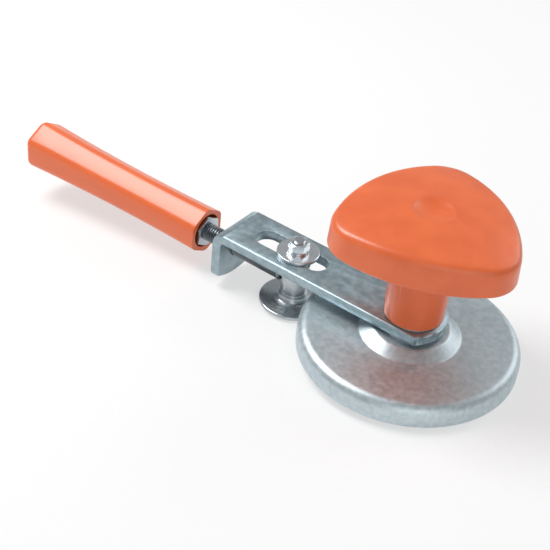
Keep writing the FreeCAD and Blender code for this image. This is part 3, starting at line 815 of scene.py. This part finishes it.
@dataclass
class Slider(Assembly):
    """Axle that slides in the lever's slot, with its fasteners above and below."""

    paint: Paintshop
    stud: Thread = field(default_factory=lambda: Thread(2.5 * MM, 0.8 * MM))
    guide: float = 5.3 * MM
    body: float = 5.8 * MM
    journal: float = 3.0 * MM
    nose_bore: float = 2.55 * MM
    edge: float = 0.4 * MM
    nut_flats: float = 8.0 * MM
    screw_head: float = 3.4 * MM
    screw_shank: float = 1.5 * MM
    blade: Corner = (0.9 * MM, 8.0 * MM, 0.7 * MM)
    split: float = math.radians(344)

    def axle(self) -> bpy.types.Object:
        """Turns the axle, threads its stud and bores it for the feed screw's nose."""
        box, lever, roller = Corners.of("roller_axle"), Corners.of("lever_arm"), Corners.of("roller")
        screw = Corners.of("feed_screw")
        x, clear = box.centre.x, 0.1 * MM
        washer = Corners.of("slide_washer")
        under = lever.high.z - 4.5 * MM - clear
        foot = roller.high.z + clear
        piece = Bench.turn("turned_slider_axle", [
            (self.journal, box.low.z, 0.3 * MM),
            (self.journal, foot, 0),
            (self.body, foot, self.edge),
            (self.body, under, self.edge),
            (self.guide, under, 0),
            (self.guide, washer.low.z, 0.15 * MM),
        ], x, hollow=False)
        Bench.clear()
        bpy.ops.mesh.primitive_cylinder_add(vertices=64, radius=self.nose_bore, depth=2 * self.body,
                                            rotation=(0, math.pi / 2, 0),
                                            location=(screw.high.x - self.body - clear, 0, screw.centre.z))
        Bench.carve(piece, Bench.added("nose_drill"), "DIFFERENCE")
        length = box.high.z - washer.low.z
        rod = self.stud.rod("stud_thread", length + clear)
        tip = [(2.4 * MM, -clear, 0), (2.6 * MM, -clear, 0), (2.6 * MM, length - 0.4 * MM, 0),
               (2.1 * MM, length, 0)]
        Bench.carve(rod, Bench.turn("stud_point", tip[1:], hollow=False), "INTERSECT")
        Bench.lay(rod, Vector((x, 0, washer.low.z)), Vector((0, 0, 1)))
        piece = Bench.join([piece, rod])
        Bench.clean(piece, 28.0)
        return piece

    def lock_washer(self) -> bpy.types.Object:
        """Spins a square section into a split spring washer."""
        box = Corners.of("slide_lock_washer")
        outer, bore = box.size.y / 2, self.stud.radius + 0.05 * MM
        thick, middle = box.size.z, (box.size.y / 2 + self.stud.radius) / 2
        Bench.clear()
        bpy.ops.mesh.primitive_plane_add(size=1, rotation=(math.pi / 2, 0, 0),
                                         location=(box.centre.x + middle, 0, box.centre.z))
        bpy.context.object.scale = (outer - bore, thick, 1)
        piece = Bench.added("split_spring_washer")
        Bench.edit(piece)
        bpy.ops.mesh.spin(steps=72, angle=self.split, center=(box.centre.x, 0, 0), axis=(0, 0, 1))
        Bench.leave()
        Bench.clean(piece)
        Bench.modify(piece, "BEVEL", width=0.12 * MM, segments=2, limit_method="ANGLE",
                     angle_limit=math.radians(50))
        Bench.clean(piece, 40.0)
        return piece

    def nut(self) -> bpy.types.Object:
        """Makes the stud's nut."""
        box = Corners.of("slide_nut")
        nut = HexHead(self.nut_flats, box.size.z).blank("stud_nut", self.stud.radius - 0.1 * MM)
        Bench.lay(nut, Vector((box.centre.x, 0, box.low.z)), Vector((0, 0, 1)))
        return nut

    def pin(self) -> bpy.types.Object:
        """Turns the cross pin with its rounded ends."""
        box = Corners.of("retaining_pin")
        radius, half = box.size.z / 2, box.size.y / 2
        pin = Bench.turn("cross_pin", [(radius, -half, 0.3 * MM), (radius, half, 0.3 * MM)], steps=32,
                         hollow=False)
        Bench.lay(pin, box.centre, Vector((0, 1, 0)))
        return pin

    def roller_screw(self) -> bpy.types.Object:
        """Turns the cheese-head screw under the roller and cuts its slot."""
        box = Corners.of("roller_screw")
        seat = Corners.of("roller_washer").low.z
        piece = Bench.turn("slotted_roller_screw", [
            (self.screw_head, box.low.z, 0.35 * MM),
            (self.screw_head, seat, 0.1 * MM),
            (self.screw_shank, seat, 0),
            (self.screw_shank, box.high.z, 0.3 * MM),
        ], box.centre.x, steps=64, hollow=False)
        Bench.clear()
        bpy.ops.mesh.primitive_cube_add(size=1, location=(box.centre.x, 0, box.low.z))
        bpy.context.object.scale = self.blade
        Bench.carve(piece, Bench.added("slot_blade"), "DIFFERENCE")
        Bench.clean(piece)
        return piece

    def build(self) -> None:
        """Builds and dresses the slider."""
        paint = self.paint
        self.fit(self.axle(), "roller_axle", Body.SLIDER, Slot.TURNED, paint.turned)
        self.fit(self.lock_washer(), "slide_lock_washer", Body.SLIDER, Slot.BRIGHT, paint.bright)
        self.fit(self.nut(), "slide_nut", Body.SLIDER, Slot.BRIGHT, paint.bright)
        self.fit(self.pin(), "retaining_pin", Body.SLIDER, Slot.TURNED, paint.turned)
        self.fit(self.roller_screw(), "roller_screw", Body.SLIDER, Slot.BRIGHT, paint.bright)
        washer = self.ring("slide_washer", "slide_face_washer", self.stud.radius + 0.05 * MM, 0.45 * MM)
        self.fit(washer, "slide_washer", Body.SLIDER, Slot.BRIGHT, paint.bright)
        washer = self.ring("roller_washer", "roller_end_washer", self.screw_shank, 0.2 * MM)
        self.fit(washer, "roller_washer", Body.SLIDER, Slot.BRIGHT, paint.bright)


@dataclass
class SeamingRoller(Assembly):
    """Roller with its neck, hollow groove and lip, on a bronze bush."""

    paint: Paintshop
    neck: float = 5.8 * MM
    neck_foot: float = -0.8 * MM
    lip_thick: float = 2.4 * MM
    lip_edge: float = 1.1 * MM
    bush_radius: float = 4.4 * MM
    recess: float = 6.0 * MM
    recess_depth: float = 2.3 * MM
    journal_bore: float = 3.05 * MM
    edge: float = 0.4 * MM

    def roller(self) -> bpy.types.Object:
        """Turns the roller."""
        box = Corners.of("roller")
        reach, low = box.size.y / 2, box.low.z
        lip_top, roof = low + self.lip_thick, low + self.recess_depth
        return Bench.turn("grooved_seaming_roller", [
            (self.bush_radius, box.high.z, 0.15 * MM),
            (self.neck, box.high.z, self.edge),
            (self.neck, lip_top, self.neck_foot - lip_top),
            (reach, lip_top - self.edge, self.lip_edge - self.edge),
            (reach, low, self.lip_edge),
            (self.recess, low, 0.3 * MM),
            (self.recess, roof, 0),
            (self.bush_radius, roof, 0),
        ], box.centre.x, steps=128)

    def build(self) -> None:
        """Builds and dresses the roller."""
        self.fit(self.roller(), "roller", Body.ROLLER, Slot.TURNED, self.paint.turned)
        bush = self.ring("roller_bush", "bronze_roller_bush", self.journal_bore, 0.2 * MM)
        self.fit(bush, "roller_bush", Body.ROLLER, Slot.BRONZE, self.paint.bronze)


@dataclass
class FeedScrew(Assembly):
    """Feed screw: grooved nose, collar and a cut thread."""

    paint: Paintshop
    thread: Thread = field(default_factory=lambda: Thread(4.0 * MM, 1.25 * MM))
    nose: float = 2.5 * MM
    nose_length: float = 7.0 * MM
    groove: float = 1.5 * MM
    groove_width: float = 2.2 * MM
    groove_start: float = 3.0 * MM
    collar: float = 1.6 * MM
    chamfer: float = 0.6 * MM

    def build(self) -> None:
        """Builds and dresses the screw."""
        box = Corners.of("feed_screw")
        along = Vector((-1, 0, 0))
        shoulder, far = self.nose_length, self.nose_length - self.groove_start
        head = Bench.turn("threaded_feed_screw", [
            (self.nose - self.chamfer, 0, 0),
            (self.nose, self.chamfer, 0),
            (self.nose, far - self.groove_width, 0),
            (self.groove, far - self.groove_width, 0),
            (self.groove, far, 0),
            (self.nose, far, 0),
            (self.nose, shoulder, 0),
            (self.thread.radius - self.chamfer, shoulder, 0),
            (self.thread.radius, shoulder + self.chamfer, 0),
            (self.thread.radius, shoulder + self.collar, 0.2 * MM),
        ], steps=64, hollow=False)
        nose = Vector((box.high.x, 0, box.centre.z))
        Bench.lay(head, nose, along)
        start = shoulder + self.collar / 2
        rod = self.thread.rod("feed_thread", box.size.x - start)
        Bench.lay(rod, nose + along * start, along)
        self.fit(Bench.join([head, rod]), "feed_screw", Body.SCREW, Slot.DARK, self.paint.screw)


@dataclass
class Grip(Assembly):
    """Moulded grip with the washer and lock nut in its open end."""

    paint: Paintshop
    crease: float = 38.0
    nut_flats: float = 13.0 * MM
    bore: float = 3.9 * MM

    def build(self) -> None:
        """Builds and dresses the grip."""
        grip = Bench.copy_node("grip", "moulded_screw_grip")
        Bench.clean(grip, self.crease)
        self.fit(grip, "grip", Body.SCREW, Slot.PLASTIC, self.paint.grip)
        box = Corners.of("lock_nut")
        nut = HexHead(self.nut_flats, box.size.x).blank("grip_lock_nut", self.bore)
        Bench.lay(nut, Vector((box.low.x, 0, box.centre.z)), Vector((1, 0, 0)))
        self.fit(nut, "lock_nut", Body.SCREW, Slot.BRIGHT, self.paint.nuts)
        box = Corners.of("grip_washer")
        radius, half = box.size.y / 2, box.size.x / 2
        washer = Bench.turn("grip_core_washer", [(self.bore, -half, 0), (radius, -half, 0.15 * MM),
                                                 (radius, half, 0.25 * MM), (self.bore, half, 0)])
        Bench.lay(washer, box.centre, Vector((1, 0, 0)))
        self.fit(washer, "grip_washer", Body.SCREW, Slot.BRIGHT, self.paint.nuts)
        self.dress("captive_nut", self.paint.nuts)


# ---- studio --------------------------------------------------------------------------
@dataclass
class Studio:
    """Pale floor, soft lamps, a white surround and the camera."""

    azimuth: float = 33.45
    elevation: float = 37.4
    roll: float = 6.3
    distance: float = 525 * MM
    target: Corner = (-67.5 * MM, 0.0, 2.0 * MM)
    lens: float = 80.0
    floor_size: float = 12.0
    surround: float = 0.40
    white: float = 0.97
    paleness: float = 0.55

    def floor(self) -> None:
        """Lays the floor under the disc's rim and the roller's lip."""
        disc, roller = Corners.of("press_disc"), Corners.of("roller")
        rise = disc.low.z - roller.low.z
        tilt = math.atan2(rise, disc.high.x - roller.high.x)
        Bench.clear()
        bpy.ops.mesh.primitive_plane_add(size=self.floor_size, rotation=(0, -tilt, 0),
                                         location=(disc.high.x, 0, disc.low.z))
        plane = bpy.context.object
        plane.name = "floor"
        graph = Graph("floor_paper")
        paper = graph.noise(3 * MM, 2.0)
        colour = graph.blend(paper, (0.86, 0.86, 0.86, 1), (0.9, 0.9, 0.9, 1))
        material = graph.surface({"Base Color": colour}, paper, 0.005 * MM,
                                 {"Roughness": 0.9, "Specular IOR Level": 0.1})
        self.whiten(graph)
        plane.data.materials.append(material)

    def whiten(self, graph: Graph) -> None:
        """Lets the camera and mirrors see the floor paler than its lamps make it, shadows kept."""
        output = next(n for n in graph.tree.nodes if n.type == "OUTPUT_MATERIAL")
        paper = Sock(graph, output.inputs["Surface"].links[0].from_socket)
        seen = self.seen(graph)
        glow = graph.add("ShaderNodeEmission", {}, {"Color": (1, 1, 1, 1), "Strength": self.white})
        both = graph.add("ShaderNodeMixShader", {}, {0: seen * self.paleness, 1: paper, 2: glow})
        graph.tree.links.new(both.socket, output.inputs["Surface"])

    @staticmethod
    def seen(graph: Graph) -> Sock:
        """Mask of the rays that show the background: camera, glossy and transmission."""
        camera = graph.add("ShaderNodeLightPath", {}, {}, "Is Camera Ray")
        glossy = graph.add("ShaderNodeLightPath", {}, {}, "Is Glossy Ray")
        through = graph.add("ShaderNodeLightPath", {}, {}, "Is Transmission Ray")
        return (camera + glossy + through).rising(0.0, 1.0)

    def world(self) -> None:
        """Lights the studio from all round; the camera sees it white."""
        world = bpy.data.worlds.new("studio")
        bpy.context.scene.world = world
        world.use_nodes = True
        tree = world.node_tree
        path = tree.nodes.new("ShaderNodeLightPath")
        level = tree.nodes.new("ShaderNodeMapRange")
        level.inputs["To Min"].default_value = self.surround
        level.inputs["To Max"].default_value = 1.0
        tree.links.new(path.outputs["Is Camera Ray"], level.inputs["Value"])
        tree.links.new(level.outputs["Result"], tree.nodes["Background"].inputs["Strength"])
        tree.nodes["Background"].inputs["Color"].default_value = (1, 1, 1, 1)

    def lamp(self, name: str, place: Corner, size: float, power: float) -> None:
        """Hangs a soft square lamp that shines at the seamer.

        Args:
            name: Name of the lamp.
            place: Where it hangs.
            size: Edge of its face.
            power: Its power in watts.
        """
        data = bpy.data.lights.new(name, "AREA")
        data.shape, data.size, data.energy = "SQUARE", size, power
        lamp = bpy.data.objects.new(name, data)
        lamp.location = place
        aim = Vector(self.target) - Vector(place)
        lamp.rotation_euler = aim.to_track_quat("-Z", "Y").to_euler()
        bpy.context.scene.collection.objects.link(lamp)

    def camera(self) -> None:
        """Sets the camera at its angle, distance and roll."""
        azimuth, elevation = math.radians(self.azimuth), math.radians(self.elevation)
        back = Vector((math.sin(azimuth) * math.cos(elevation), -math.cos(azimuth) * math.cos(elevation),
                       math.sin(elevation)))
        data = bpy.data.cameras.new("camera")
        data.lens = self.lens
        data.clip_start, data.clip_end = 0.01, 50.0
        camera = bpy.data.objects.new("camera", data)
        camera.location = Vector(self.target) + back * self.distance
        camera.rotation_mode = "QUATERNION"
        lean = Quaternion((0, 0, 1), math.radians(self.roll))
        camera.rotation_quaternion = (-back).to_track_quat("-Z", "Y") @ lean
        bpy.context.scene.collection.objects.link(camera)
        bpy.context.scene.camera = camera

    def build(self) -> None:
        """Sets up the studio."""
        bpy.context.scene.view_settings.view_transform = "Standard"
        self.floor()
        self.world()
        self.lamp("key", (-0.55, -0.10, 0.70), 0.40, 6.0)
        self.lamp("fill", (0.55, -0.60, 0.35), 0.70, 1.6)
        self.lamp("back", (0.25, 0.80, 0.50), 0.60, 2.0)
        self.camera()


def main() -> None:
    """Builds the seamer's sub-assemblies and the studio."""
    logging.basicConfig(level=logging.INFO, format="%(name)s: %(message)s")
    paint = Paintshop()
    for assembly in (PressSet, PalmKnob, LeverArm, Slider, SeamingRoller, FeedScrew, Grip):
        assembly(paint).build()
        LOG.info("%s is built", assembly.__name__)
    Studio().build()


if __name__ == "__main__":
    main()
